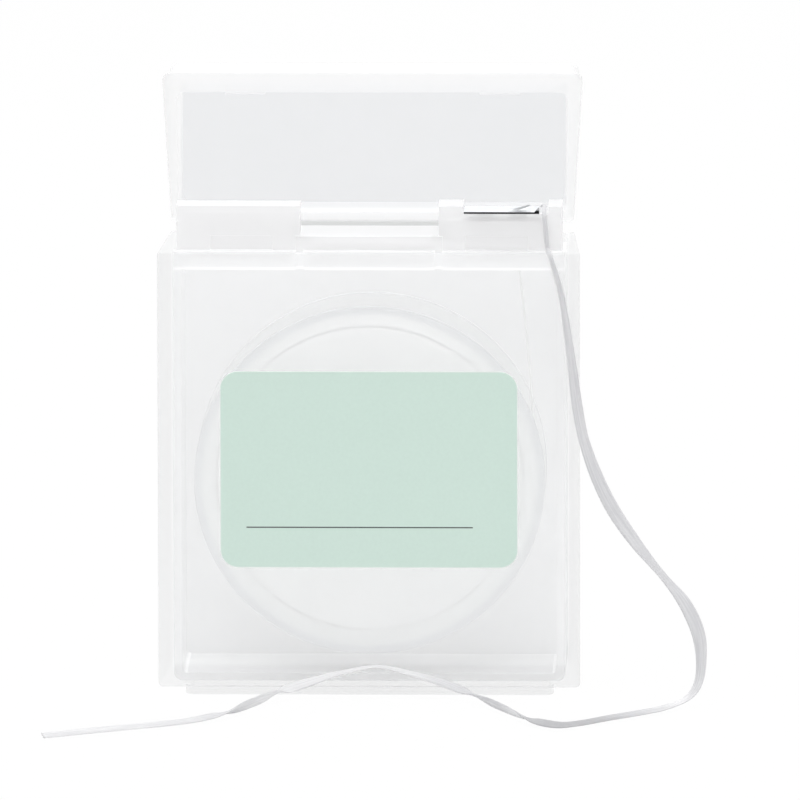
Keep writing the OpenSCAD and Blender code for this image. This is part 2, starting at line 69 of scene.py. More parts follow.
# The floss, as the source routes it: each row is a place in mm, the share of its width that the tape shows,
# and the way its flat side faces
LEAD_ROUTE = [
    [[19.3, 4.6, 27.2], 0.56, [1, 0, 0]],
    [[19.2, 4.3, 31], 0.56, [1, 0, 0]],
    [[18.8, 3.6, 37], 0.56, [1, 0, 0]],
    [[18.2, 2.5, 44], 0.56, [1, 0, 0]],
    [[17.5, 1.6, 50.5], 0.5, [1, 0, 0]],
    [[17.6, 1.5, 52.3], 0.5, [1, 0, 0]],
    [[19, 1, 55.3], 0.44, [1, 1, 0]],
    [[20.35, 0.3, 57.3], 0.31, [0, 1, 1]],
    [[20.65, -0.5, 57.7], 0.31, [0, 0, 1]],
    [[20.65, -3.2, 57.55], 0.31, [0, 0, 1]],
    [[20.65, -5.4, 57.5], 0.31, [0, 0, 1]],
    [[20.75, -6, 57.1], 0.31, [0, -1, 1]],
    [[20.85, -6.2, 55.8], 0.31, [0, -1, 0]],
    [[21, -6.4, 54.2], 0.31, [0, -1, 0]],
    [[21.1, -6.5, 53.2], 0.31, [0, -1, 1]],
    [[21.2, -7.2, 53.2], 0.31, [0, 0, 1]],
    [[21.3, -9, 53.2], 0.31, [0, 0, 1]],
]
TAIL_ROUTE = [
    [[21.3, -9, 53.2], 0.31, [0, 0, 1]],
    [[21.5, -9.4, 52.8], 0.31, [0, -1, 1]],
    [[22, -9.5, 51.2], 0.38, [0, -1, 0]],
    [[22.8, -9.6, 48.2], 0.44, [0, -1, 0]],
    [[23.5, -9.8, 44], 0.56, [0.2, -1, 0]],
    [[24.1, -10, 39.6], 0.69, [0.2, -1, 0]],
    [[24.7, -10.3, 35], 0.81, [0.3, -1, 0]],
    [[25.5, -10.7, 31], 0.81, [0.3, -1, 0]],
    [[27, -11.3, 26.8], 0.94, [0.1, -1, 0.1]],
    [[29, -11.8, 22.8], 1, [0, -1, 0.2]],
    [[31.8, -12.3, 18.8], 0.94, [0.6, -1, 0.2]],
    [[34.8, -12.8, 15.2], 0.75, [1, -1, 0.4]],
    [[37.4, -13.3, 12], 1, [0.4, -1, 0.3]],
    [[39, -14, 8.6], 1, [0, -1, 0]],
    [[39.4, -14.6, 5.4], 0.88, [-0.5, -1, 0]],
    [[39, -15.2, 2.6], 0.75, [-0.6, -1, 0.3]],
    [[37.6, -16.4, 1], 0.62, [-0.6, -1, 0.6]],
    [[34.9, -20.3, 0.6], 0.56, [0, -1, 1]],
    [[32, -23.8, 0.6], 0.56, [0, -1, 1]],
    [[28.6, -27.3, 0.6], 0.56, [0, -1, 1]],
    [[25.2, -31, 0.6], 0.56, [0, -1, 1]],
    [[22.6, -32.6, 0.7], 0.62, [0, -1, 1]],
    [[19.6, -29.6, 0.8], 0.81, [0.6, -1, 0.4]],
    [[16, -21.8, 0.9], 0.94, [1, -1, 0.3]],
    [[12.6, -14.4, 1], 0.88, [1, -1, 0.6]],
    [[9.2, -11.4, 1.9], 0.75, [0.2, -1, 1]],
    [[5, -10.5, 3], 0.62, [0, -0.4, 1]],
    [[1, -10.4, 3.8], 0.56, [0, -0.2, 1]],
    [[-3.4, -10.4, 3], 0.62, [0, -0.4, 1]],
    [[-7.2, -10.7, 1.9], 0.75, [-0.2, -1, 0.8]],
    [[-10.4, -12.2, 1.1], 0.88, [-0.8, -1, 0.4]],
    [[-13.4, -18.6, 0.9], 0.94, [-1, -1, 0.2]],
    [[-16.4, -25, 0.8], 0.88, [-0.8, -1, 0.4]],
    [[-20.6, -29.8, 0.6], 0.62, [-0.2, -1, 1]],
    [[-26, -33.4, 0.6], 0.56, [0, -1, 1]],
    [[-31.4, -36.6, 0.6], 0.56, [0, -1, 1]],
    [[-37.4, -40.4, 0.6], 0.56, [0, -1, 1]],
]


class FlossSizes(bpy.types.PropertyGroup):
    """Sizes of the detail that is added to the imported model."""

    edge_round: FloatProperty(
        name="Edge rounding",
        description="Radius of the moulded edges",
        default=0.22 * MM,
        unit="LENGTH",
    )
    steel_round: FloatProperty(
        name="Steel edge",
        description="Rounding of the steel's edges",
        default=0.03 * MM,
        unit="LENGTH",
    )
    tape_thick: FloatProperty(
        name="Tape thickness",
        description="Thickness of the floss tape",
        default=0.22 * MM,
        unit="LENGTH",
    )
    tape_wide: FloatProperty(
        name="Tape width",
        description="Width of the tape where it lies flat",
        default=1.6 * MM,
        unit="LENGTH",
    )
    turn_pitch: FloatProperty(
        name="Turn pitch",
        description="Distance from one wound turn to the next",
        default=0.62 * MM,
        unit="LENGTH",
    )
    camera_away: FloatProperty(
        name="Camera distance",
        description="How far off the camera stands",
        default=2.6,
        unit="LENGTH",
    )


def tone(name, description, code):
    """A colour setting, kept as an sRGB hex value."""
    return StringProperty(name=name, description=description, default=code)


class FlossColours(bpy.types.PropertyGroup):
    """Colours as sRGB hex values."""

    case_clear: tone("Case", "Natural polypropylene of the case", "#F8F9FA")
    # Painted shade: the case is darker on its side walls and its foot
    case_shade: tone("Case, thick", "Its side walls and foot, seen end-on", "#DDDEDF")
    case_edge: tone("Case edges", "Edges of the case and the lid", "#FAFAFB")
    # Painted shade: the lid's top wall, the inside of the open lid, is greyer than the case's plastic
    lid_shaded: tone("Lid", "The lid's top wall", "#DCDEE1")
    # Painted light: the lid's other walls and rims are whiter
    lid_rims_lit: tone("Lid, thick", "The lid's other walls, seen end-on", "#F7F7F8")
    # Painted shade: the hinge strip is grey for the shade in its bend
    hinge: tone("Hinge", "The strip that bends", "#C3C4C4")
    carrier_clear: tone("Carrier", "Natural polypropylene inside", "#F3F3F4")
    # Painted light: the carrier is lighter inside the case, between its floor and its top
    carrier_inside_lit: tone("Carrier, thick", "The tray's walls, seen end-on", "#F9F9FA")
    carrier_edge: tone("Carrier edges", "Edges of the carrier", "#F4F4F5")
    spool_clear: tone("Spool", "Natural polypropylene of the spool", "#F4F5F5")
    # Painted shade: a darker band at the rim of the spool's front flange
    spool_rim_shade: tone("Spool, thick", "The front flange's rim, seen end-on", "#E0E2E4")
    # The spool's edges are darker as part of the same painted shade
    spool_edge: tone("Spool edges", "Edges of the spool", "#E4E6E7")
    steel: tone("Steel", "Rolled steel of the cutter", "#E2E4E6")
    # Painted shade on the bent-up tooth and corner
    steel_tooth_shade: tone("Bent steel", "The tooth and the upturned corner", "#B2B4B6")
    # Painted shade: a near-black line along the cutter's front edge
    steel_edge_shade: tone("Ground edge", "Dark ground edge of the cutter", "#1C1D1F")
    # Painted light and shade: the free floss is greyer than the same floss wound inside, lighter where turned
    # to the light and darker where turned away
    floss: tone("Floss", "The free floss", "#DCDCDE")
    floss_lit: tone("Floss, flat", "Where it is turned to the light", "#EDEDEE")
    floss_shaded: tone("Floss, on edge", "Where it is turned away", "#C1C1C3")
    floss_wound: tone("Wound floss", "The clean floss inside", "#FAFAF9")
    floss_valley: tone("Floss valleys", "Shade between the fibres", "#F1F1F2")
    label: tone("Label", "Mint film of the label", "#CFE4DA")
    label_grain: tone("Label grain", "Paler specks of the print", "#D1E6DC")
    label_bare: tone("Label's bare edge", "Film without print", "#E9F1ED")
    label_rule: tone("Label's rule", "The printed rule", "#4A514E")
    floor: tone("Floor", "Pale floor", "#F7F7F7")


def sizes():
    """The size settings in use."""
    return bpy.context.scene.floss_sizes


def colours():
    """The colour settings in use."""
    return bpy.context.scene.floss_colours


def linear(code):
    """Turns an sRGB hex value into a linear colour with alpha 1."""
    parts = np.array([int(code[i : i + 2], 16) for i in (1, 3, 5)]) / 255
    lin = np.where(parts <= 0.04045, parts / 12.92, ((parts + 0.055) / 1.055) ** 2.4)
    return (*lin.tolist(), 1.0)


def add_node(tree, kind, values=None, links=None, **settings):
    """Adds one shader node with its settings, its input values and its incoming links."""
    node = tree.nodes.new(kind)
    for name, value in settings.items():
        setattr(node, name, value)
    for name, value in (values or {}).items():
        node.inputs[name].default_value = value
    for name, source in (links or {}).items():
        tree.links.new(source, node.inputs[name])
    return node


def new_material(name):
    """An empty node material and its tree."""
    material = bpy.data.materials.new(name)
    material.use_nodes = True
    material.node_tree.nodes.clear()
    return material, material.node_tree


def finish_material(tree, shader):
    """Joins a shader to the material's output."""
    add_node(tree, "ShaderNodeOutputMaterial", links={"Surface": shader.outputs[0]})


def per_metre(size_mm):
    """Scale of a noise whose features are size_mm across, on Object coordinates in metres."""
    return 1.0 / (size_mm * MM)


def lamps_through(tree, alpha, share):
    """An alpha that lets this share of the light by, from lamps and from white surfaces, as a wall does that
    scatters light forwards."""
    path = add_node(tree, "ShaderNodeLightPath").outputs
    rays = {0: path["Is Shadow Ray"], 1: path["Is Diffuse Ray"]}
    light = add_node(tree, "ShaderNodeMath", None, rays, operation="MAXIMUM").outputs[0]
    shade = add_node(tree, "ShaderNodeMapRange", {"To Min": 1.0, "To Max": 1.0 - share}, {"Value": light})
    links = {0: alpha, 1: shade.outputs["Result"]}
    return add_node(tree, "ShaderNodeMath", None, links, operation="MULTIPLY").outputs[0]


def polypropylene(name, code, alpha, roughness, through=0.9, thick=None, painted_glow=0.0, line=None):
    """Natural polypropylene, injection moulded: milky and see-through where thin, with a satin skin that
    ripples over centimetres from shrinkage and has a fine spark-eroded grain. It scatters light forwards, so
    a share of the lamps' light, through, reaches what is inside.

    thick is a colour, rows of an axis and two places along it, and how the rows are joined: past the rows'
    second places the surface turns that colour. It is painted light and shade: a band of a wall made lighter
    where light falls on it and darker where shade falls. Axis 3 is the distance from the spool's axis. A glow
    strength makes the level edges emit light, a painted highlight that stands for light from above carried
    down inside a wall, and line is the height, half width and strength of such a painted highlight, an
    emitting band at the foot of a wall."""
    material, tree = new_material(name)
    place = add_node(tree, "ShaderNodeTexCoord").outputs["Object"]
    values = {"Scale": per_metre(22), "Detail": 1.0, "Roughness": 0.4}
    cloud = add_node(tree, "ShaderNodeTexNoise", values, {"Vector": place}).outputs["Fac"]
    values = {"Scale": per_metre(0.35), "Detail": 2.0, "Roughness": 0.6}
    grain = add_node(tree, "ShaderNodeTexNoise", values, {"Vector": place}).outputs["Fac"]
    uneven = 0.03
    values = {"To Min": alpha - uneven, "To Max": alpha + uneven}
    milky = add_node(tree, "ShaderNodeMapRange", values, {"Value": cloud}).outputs["Result"]
    values = {"Strength": 0.3, "Distance": 0.2 * MM}
    ripple = add_node(tree, "ShaderNodeBump", values, {"Height": cloud}).outputs["Normal"]
    values = {"Strength": 0.03, "Distance": 0.02 * MM}
    skin = add_node(tree, "ShaderNodeBump", values, {"Height": grain, "Normal": ripple}).outputs["Normal"]
    links = {"Alpha": lamps_through(tree, milky, through), "Normal": skin}
    axes = list(add_node(tree, "ShaderNodeSeparateXYZ", links={"Vector": place}).outputs)
    # The thick colour is painted light and shade, laid on in bands along the rows
    if thick:
        painted_tone, rows, joined = thick
        axes.append(spool_distance(tree, place))
        share = None
        for axis, start, end in rows:
            reach = add_node(
                tree,
                "ShaderNodeMapRange",
                {"From Min": start, "From Max": end},
                {"Value": axes[axis]},
                interpolation_type="SMOOTHSTEP",
            ).outputs["Result"]
            if share is not None:
                both = {0: share, 1: reach}
                reach = add_node(tree, "ShaderNodeMath", None, both, operation=joined).outputs[0]
            share = reach
        ends = {6: linear(code), 7: linear(painted_tone)}
        links["Base Color"] = add_node(
            tree, "ShaderNodeMix", ends, {0: share}, data_type="RGBA"
        ).outputs[2]
    # Painted highlight: edges that face up or down emit light, standing for light from above carried inside
    # the wall
    if painted_glow:
        leaning, level = 0.55, 0.85
        facing = add_node(tree, "ShaderNodeTexCoord").outputs["Normal"]
        upright = add_node(tree, "ShaderNodeSeparateXYZ", links={"Vector": facing}).outputs["Z"]
        flatness = add_node(tree, "ShaderNodeMath", None, {0: upright}, operation="ABSOLUTE").outputs[0]
        values = {"From Min": leaning, "From Max": level, "To Max": painted_glow}
        lit = add_node(tree, "ShaderNodeMapRange", values, {"Value": flatness})
        links["Emission Strength"] = lit.outputs["Result"]
    # Painted highlight: a band at one height emits light, brightest at its middle
    if line:
        height, half, strength = line
        off = add_node(tree, "ShaderNodeMath", {1: height}, {0: axes[2]}, operation="SUBTRACT").outputs[0]
        away = add_node(tree, "ShaderNodeMath", None, {0: off}, operation="ABSOLUTE").outputs[0]
        values = {"From Max": half, "To Min": strength, "To Max": 0.0}
        lit = add_node(tree, "ShaderNodeMapRange", values, {"Value": away})
        links["Emission Strength"] = lit.outputs["Result"]
    values = {
        "Base Color": linear(code),
        "Roughness": roughness,
        "IOR": 1.49,
        "Emission Color": (1, 1, 1, 1),
        "Emission Strength": 0.0,
    }
    finish_material(tree, add_node(tree, "ShaderNodeBsdfPrincipled", values, links))
    return material


def spool_distance(tree, place):
    """How far a point lies from the spool's axis: the length of its offset in X and Z."""
    low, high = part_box("spool")
    middle = (low + high) / 2
    axis = {1: (middle.x, 0, middle.z)}
    offset = add_node(tree, "ShaderNodeVectorMath", axis, {0: place}, operation="SUBTRACT").outputs[0]
    flat = add_node(tree, "ShaderNodeVectorMath", {1: (1, 0, 1)}, {0: offset}, operation="MULTIPLY")
    length = add_node(tree, "ShaderNodeVectorMath", None, {0: flat.outputs[0]}, operation="LENGTH")
    return length.outputs["Value"]


def rolled_steel():
    """Thin stainless strip, rolled and stamped: grey with fine rolling lines along X, a painted dark line of
    shade along its front edge, and painted shade on the tooth and corner that are bent up from it."""
    material, tree = new_material("rolled_steel")
    place = add_node(tree, "ShaderNodeTexCoord").outputs["Object"]
    # Rolling lines are 20 times as long as they are wide
    stretch = add_node(tree, "ShaderNodeMapping", {"Scale": (0.05, 1.0, 1.0)}, {"Vector": place})
    values = {"Scale": per_metre(0.08), "Detail": 3.0}
    lines = add_node(tree, "ShaderNodeTexNoise", values, {"Vector": stretch.outputs["Vector"]})
    low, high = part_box("cutter")
    upturn = 0.65 * MM
    plate_top = high.z - upturn
    axes = add_node(tree, "ShaderNodeSeparateXYZ", links={"Vector": place}).outputs
    # Painted shade: a dark line along the front edge
    values = {"From Min": low.y + 0.06 * MM, "From Max": low.y + 0.12 * MM, "To Min": 1.0, "To Max": 0.0}
    front = add_node(tree, "ShaderNodeMapRange", values, {"Value": axes["Y"]}).outputs["Result"]
    # Painted shade: steel above the plate's top, the bent-up tooth and corner, is darker
    values = {"From Min": plate_top, "From Max": plate_top + 0.15 * MM}
    raised = add_node(tree, "ShaderNodeMapRange", values, {"Value": axes["Z"]}).outputs["Result"]
    ends = {6: linear(colours().steel), 7: linear(colours().steel_edge_shade)}
    edge_shaded = add_node(tree, "ShaderNodeMix", ends, {0: front}, data_type="RGBA").outputs[2]
    bent = {7: linear(colours().steel_tooth_shade)}
    colour = add_node(tree, "ShaderNodeMix", bent, {0: raised, 6: edge_shaded}, data_type="RGBA").outputs[2]
    values = {"Strength": 0.2, "Distance": 0.01 * MM}
    relief = add_node(tree, "ShaderNodeBump", values, {"Height": lines.outputs["Fac"]})
    values = {"Metallic": 1.0, "Roughness": 0.42}
    links = {"Base Color": colour, "Normal": relief.outputs["Normal"]}
    finish_material(tree, add_node(tree, "ShaderNodeBsdfPrincipled", values, links))
    return material


def floss_fibre(name, tones, length=1.0):
    """Loose filament floss laid as a flat tape: matt white, with fibres that run along it and painted shade
    in the valleys between bundles. U runs along the tape in metres and V across it. tones are places along
    the tape, as shares of its length in metres, and its colour there: painted light where the flat side is
    turned up to the light, and painted shade where it stands on edge."""
    material, tree = new_material(name)
    along = add_node(tree, "ShaderNodeTexCoord").outputs["UV"]
    # Bundles of fibres are some 6 mm long and a ninth of the tape wide
    stretch = add_node(tree, "ShaderNodeMapping", {"Scale": (160.0, 9.0, 1.0)}, {"Vector": along})
    values = {"Scale": 1.0, "Detail": 4.0, "Roughness": 0.6}
    fibres = add_node(tree, "ShaderNodeTexNoise", values, {"Vector": stretch.outputs["Vector"]})
    run = add_node(tree, "ShaderNodeSeparateXYZ", links={"Vector": along}).outputs["X"]
    share = add_node(tree, "ShaderNodeMath", {1: length}, {0: run}, operation="DIVIDE").outputs[0]
    ramp = add_node(tree, "ShaderNodeValToRGB", None, {0: share})
    stops = ramp.color_ramp.elements
    stops.remove(stops[1])
    stops[0].color = linear(tones[0][1])
    for place, code in tones[1:]:
        stops.new(place).color = linear(code)
    values = {"From Min": 0.42, "From Max": 0.6, "To Min": 1.0, "To Max": 0.0}
    valleys = add_node(tree, "ShaderNodeMapRange", values, {"Value": fibres.outputs["Fac"]})
    colour = add_node(
        tree,
        "ShaderNodeMix",
        {7: linear(colours().floss_valley)},
        {0: valleys.outputs["Result"], 6: ramp.outputs["Color"]},
        data_type="RGBA",
        blend_type="MULTIPLY",
    ).outputs[2]
    values = {"Strength": 0.4, "Distance": 0.06 * MM}
    relief = add_node(tree, "ShaderNodeBump", values, {"Height": fibres.outputs["Fac"]})
    values = {"Roughness": 0.62, "Sheen Weight": 0.25, "Sheen Roughness": 0.4, "Specular IOR Level": 0.3}
    links = {"Base Color": colour, "Normal": relief.outputs["Normal"]}
    finish_material(tree, add_node(tree, "ShaderNodeBsdfPrincipled", values, links))
    return material


def label_film():
    """Self-adhesive film printed mint: satin, with a faint grain of the print, a bare pale edge where the
    print stops short of the cut, and one plain printed rule. The film is thin, so lamps reach what is behind
    it."""
    material, tree = new_material("label_film")
    code = colours()
    place = add_node(tree, "ShaderNodeTexCoord").outputs["Object"]
    low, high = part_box("label")
    middle, half = (low + high) / 2, (high - low) / 2
    corner = 2.1 * MM
    bare_from, bare_to = corner - 0.12 * MM, corner - 0.04 * MM
    values = {"Scale": per_metre(0.4), "Detail": 2.0}
    grain = add_node(tree, "ShaderNodeTexNoise", values, {"Vector": place}).outputs["Fac"]
    ends = {6: linear(code.label), 7: linear(code.label_grain)}
    colour = add_node(tree, "ShaderNodeMix", ends, {0: grain}, data_type="RGBA").outputs[2]
    # How far past a rectangle shrunk by the corner radius a point lies
    past = place
    for operation, values in (
        ("SUBTRACT", {1: (middle.x, 0, middle.z)}),
        ("MULTIPLY", {1: (1, 0, 1)}),
        ("ABSOLUTE", None),
        ("SUBTRACT", {1: (half.x - corner, 0, half.z - corner)}),
        ("MAXIMUM", {1: (0, 0, 0)}),
    ):
        past = add_node(tree, "ShaderNodeVectorMath", values, {0: past}, operation=operation).outputs[0]
    reach = add_node(tree, "ShaderNodeVectorMath", None, {0: past}, operation="LENGTH").outputs["Value"]
    values = {"From Min": bare_from, "From Max": bare_to}
    bare = add_node(tree, "ShaderNodeMapRange", values, {"Value": reach}).outputs["Result"]
    links = {0: bare, 6: colour}
    colour = add_node(
        tree, "ShaderNodeMix", {7: linear(code.label_bare)}, links, data_type="RGBA"
    ).outputs[2]
    # The rule: a strip of the printed width and height, in from the left edge
    left, right = low.x + 3.1 * MM, low.x + 29.9 * MM
    under, over = low.z + 4.75 * MM, low.z + 4.9 * MM
    span = place
    for operation, values in (
        ("SUBTRACT", {1: ((left + right) / 2, 0, (under + over) / 2)}),
        ("DIVIDE", {1: ((right - left) / 2, 1, (over - under) / 2)}),
        ("ABSOLUTE", None),
    ):
        span = add_node(tree, "ShaderNodeVectorMath", values, {0: span}, operation=operation).outputs[0]
    parts = add_node(tree, "ShaderNodeSeparateXYZ", links={"Vector": span}).outputs
    far = add_node(tree, "ShaderNodeMath", None, {0: parts["X"], 1: parts["Z"]}, operation="MAXIMUM")
    inside = add_node(tree, "ShaderNodeMath", {1: 1.0}, {0: far.outputs[0]}, operation="LESS_THAN")
    links = {0: inside.outputs[0], 6: colour}
    colour = add_node(
        tree, "ShaderNodeMix", {7: linear(code.label_rule)}, links, data_type="RGBA"
    ).outputs[2]
    whole = add_node(tree, "ShaderNodeMapRange", {"To Min": 0.97, "To Max": 1.0}, {"Value": grain})
    values = {"Strength": 0.05, "Distance": 0.01 * MM}
    relief = add_node(tree, "ShaderNodeBump", values, {"Height": grain})
    links = {
        "Base Color": colour,
        "Normal": relief.outputs["Normal"],
        "Alpha": lamps_through(tree, whole.outputs["Result"], share=0.95),
    }
    finish_material(tree, add_node(tree, "ShaderNodeBsdfPrincipled", {"Roughness": 0.5, "IOR": 1.5}, links))
    return material


def put(mesh_object, materials, body, slot_name, *replaced):
    """Finishes a piece: its materials, the body it rides on and the CAD nodes it stands for. The slot name is
    not used.
    """
    mesh_object.data.materials.clear()
    for material in materials if isinstance(materials, tuple) else (materials,):
        mesh_object.data.materials.append(material)
    if body:
        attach(mesh_object, body)
    if replaced:
        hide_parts(*replaced)


def link_mesh(name, mesh):
    """A new object for a mesh, in the scene."""
    made = bpy.data.objects.new(name, mesh)
    bpy.context.scene.collection.objects.link(made)
    return made


def rounded_copy(node, name, radius, segments=2, angle=25, edge=0):
    """A copy of a CAD node's mesh with its triangles joined into flat faces and its edges rounded. The
    roundings take the material in slot edge."""
    mesh = NODES[node].data.copy()
    build = bmesh.new()
    build.from_mesh(mesh)
    bmesh.ops.remove_doubles(build, verts=build.verts, dist=1e-6)
    bmesh.ops.dissolve_limit(build, angle_limit=math.radians(0.5), verts=build.verts, edges=build.edges)
    build.to_mesh(mesh)
    build.free()
    mesh.materials.clear()
    made = link_mesh(name, mesh)
    bevel = made.modifiers.new("Edge", "BEVEL")
    bevel.width = radius
    bevel.segments = segments
    bevel.limit_method = "ANGLE"
    bevel.angle_limit = math.radians(angle)
    bevel.use_clamp_overlap = True
    bevel.material = edge
    flats = made.modifiers.new("Flats", "WEIGHTED_NORMAL")
    flats.mode = "FACE_AREA"
    flats.weight = 90
    mesh.shade_smooth()
    return made


def recalculated(mesh):
    """Turns a closed mesh's faces outwards."""
    build = bmesh.new()
    build.from_mesh(mesh)
    bmesh.ops.recalc_face_normals(build, faces=build.faces)
    build.to_mesh(mesh)
    build.free()


def ring_faces(index):
    """Faces between neighbouring rows of point numbers, each row a closed ring."""
    after = np.roll(index, -1, 1)
    return np.stack([index[:-1], after[:-1], after[1:], index[1:]], -1).reshape(-1, 4).tolist()


def lay_uv(mesh, u, v):
    """Gives each of a mesh's points its place on the tape, in a UV layer."""
    layer = mesh.uv_layers.new(name="tape")
    corners = np.empty(len(mesh.loops), int)
    mesh.loops.foreach_get("vertex_index", corners)
    layer.data.foreach_set("uv", np.stack([u[corners], v[corners]], -1).ravel())


def unit(vectors):
    """Rows of vectors, each scaled to length 1."""
    return vectors / np.linalg.norm(vectors, axis=1, keepdims=True)


def distances(places):
    """Distance along a line of places from its start to each of them, in their unit."""
    return np.concatenate([[0], np.cumsum(np.linalg.norm(np.diff(places, axis=0), axis=1))])


def oval(values, power):
    """Half of each value, its size raised to a power below 1 so that an oval's ends are blunter."""
    return np.sign(values) * np.abs(values) ** power / 2


def swept(name, centres, across, face, widths, thick, section=12):
    """Flat tape: at each centre, an oval of the tape's width along across and its thickness along face.
    Returns an object with a closed mesh, U along the tape in metres and V across it."""
    turn = np.linspace(0, 2 * np.pi, section, endpoint=False)
    wide = oval(np.cos(turn), 0.6)
    high = oval(np.sin(turn), 0.8)
    rings = (
        centres[:, None, :]
        + across[:, None, :] * (wide[None, :, None] * widths[:, None, None])
        + face[:, None, :] * (high[None, :, None] * thick)
    )
    count = len(centres)
    index = np.arange(count * section).reshape(count, section)
    ends = [index[0][::-1].tolist(), index[-1].tolist()]
    mesh = bpy.data.meshes.new(name)
    mesh.from_pydata(rings.reshape(-1, 3).tolist(), [], ring_faces(index) + ends)
    lay_uv(mesh, np.repeat(distances(centres), section), np.tile(wide + 0.5, count))
    mesh.shade_smooth()
    made = link_mesh(name, mesh)
    recalculated(mesh)
    return made


def curve_through(values, per):
    """Catmull-Rom curve through rows of values, per steps a span, as one array."""
    padded = np.concatenate([values[:1], values, values[-1:]])
    t = np.linspace(0, 1, per, endpoint=False)[None, :, None]
    a, b, c, d = (padded[i : len(values) - 1 + i, None, :] for i in range(4))
    bend, twist = 2 * a - 5 * b + 4 * c - d, 3 * b - a - 3 * c + d
    spans = 0.5 * (2 * b + (c - a) * t + bend * t**2 + twist * t**3)
    return np.concatenate([spans.reshape(-1, values.shape[1]), values[-1:]])


def eased(values, spans, reach):
    """Points along a polyline, spans apart, each averaged over reach on both sides to round the corners."""
    run = distances(values[:, :3])
    at = np.linspace(0, run[-1], int(run[-1] / spans) + 1)
    near = np.minimum(reach, np.minimum(at, run[-1] - at))
    places = at[:, None] + near[:, None] * np.linspace(-1, 1, 9)[None, :]
    return np.stack(
        [np.interp(places, run, values[:, k]).mean(1) for k in range(values.shape[1])], -1
    )


def tape_frames(rows):
    """Centres, directions across and facing, and widths of a tape, in metres, from its table of rows."""
    centres = rows[:, :3] * MM
    ahead = unit(np.gradient(centres, axis=0))
    facing = rows[:, 4:7]
    face = unit(facing - ahead * (facing * ahead).sum(1, keepdims=True))
    return centres, np.cross(ahead, face), face, rows[:, 3] * sizes().tape_wide


def run_length(places):
    """Length of a line through places, in their unit."""
    return float(distances(places)[-1])


def route_rows(route):
    """A route as one array: place, width and facing in each row."""
    return np.array([[*place, width, *facing] for place, width, facing in route], float)


def background_share(tree):
    """1 for camera, glossy and transmission rays, 0 for the rest."""
    path = add_node(tree, "ShaderNodeLightPath").outputs
    rays = {0: path["Is Camera Ray"], 1: path["Is Glossy Ray"]}
    first = add_node(tree, "ShaderNodeMath", None, rays, operation="MAXIMUM").outputs[0]
    rays = {0: first, 1: path["Is Transmission Ray"]}
    return add_node(tree, "ShaderNodeMath", None, rays, operation="MAXIMUM").outputs[0]


def side_walls(node, wall):
    """Rows of polypropylene's thick for the two side walls of a piece."""
    low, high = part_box(node)
    left, right = low.x + wall, high.x - wall
    soft = 0.4 * MM
    return (0, left, left - soft), (0, right, right + soft)


def hinge_strip():
    """The living hinge: a profile of a straight foot, a quarter bend and a straight top, run along X, with a
    groove along the middle of the bend where the strip thins."""
    low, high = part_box("living_hinge")
    thick = 0.35 * MM
    outer = 1.0 * MM
    radius = outer - thick / 2
    centre = np.array([low.y + outer, high.z - outer])
    turn = np.linspace(np.pi, np.pi / 2, 13)
    bend = centre + radius * np.stack([np.cos(turn), np.sin(turn)], -1)
    foot = np.array([[low.y + thick / 2, z] for z in np.linspace(low.z, centre[1], 5)[:-1]])
    top = np.array([[y, high.z - thick / 2] for y in np.linspace(centre[0], high.y, 5)[1:]])
    line = np.concatenate([foot, bend, top])
    ahead = unit(np.gradient(line, axis=0))
    normal = np.stack([-ahead[:, 1], ahead[:, 0]], -1)
    place = np.linspace(-1, 1, len(line))[:, None]
    groove_depth, groove_half = 0.45, 0.18
    thin = thick * (1 - groove_depth * np.exp(-((place / groove_half) ** 2)))
    ring = np.concatenate([line + normal * thick / 2, (line - normal * (thin - thick / 2))[::-1]])
    across = np.linspace(low.x, high.x, 9)
    points = np.concatenate([np.insert(ring, 0, x, axis=1) for x in across])
    index = np.arange(len(points)).reshape(len(across), len(ring))
    ends = [index[0].tolist(), index[-1].tolist()]
    mesh = bpy.data.meshes.new("hinge_strip")
    mesh.from_pydata(points.tolist(), [], ring_faces(index) + ends)
    recalculated(mesh)
    mesh.shade_smooth()
    return link_mesh("hinge_strip", mesh)


def wound_pack():
    """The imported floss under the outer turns: a drum turned about Y whose surface rises and falls once per
    turn, with quarter-round shoulders where the turns settle beside the flanges."""
    low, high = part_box("floss_pack")
    centre = (low + high) / 2
    settled, shoulder, hill = 0.08 * MM, 0.9 * MM, 0.06 * MM
    radius = (high.x - low.x) / 2 - settled
    width = high.y - low.y
    bend = np.linspace(0, np.pi / 2, 9)
    turn_in = np.stack([radius - shoulder * (1 - np.sin(bend)), shoulder * (1 - np.cos(bend))], -1)
    turn_out = np.stack([turn_in[::-1, 0], width - turn_in[::-1, 1]], -1)
    along = np.linspace(shoulder, width - shoulder, 101)[1:-1]
    hills = hill * np.cos(along / sizes().turn_pitch * 2 * np.pi)
    front = np.array([[pack_bore(), 0.0], [radius - 2 * shoulder, 0.0]])
    rear = front[::-1] + [0.0, width]
    profile = np.concatenate([front, turn_in, np.stack([radius + hills, along], -1), turn_out, rear])
    return turned("floss_drum", profile, centre.x, low.y, centre.z)


def pack_bore():
    """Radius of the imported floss's bore, which lies on the spool's core."""
    low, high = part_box("floss_pack")
    centre = (low + high) / 2
    places = np.array([v.co for v in NODES["floss_pack"].data.vertices])
    return float(np.hypot(places[:, 0] - centre.x, places[:, 2] - centre.z).min())


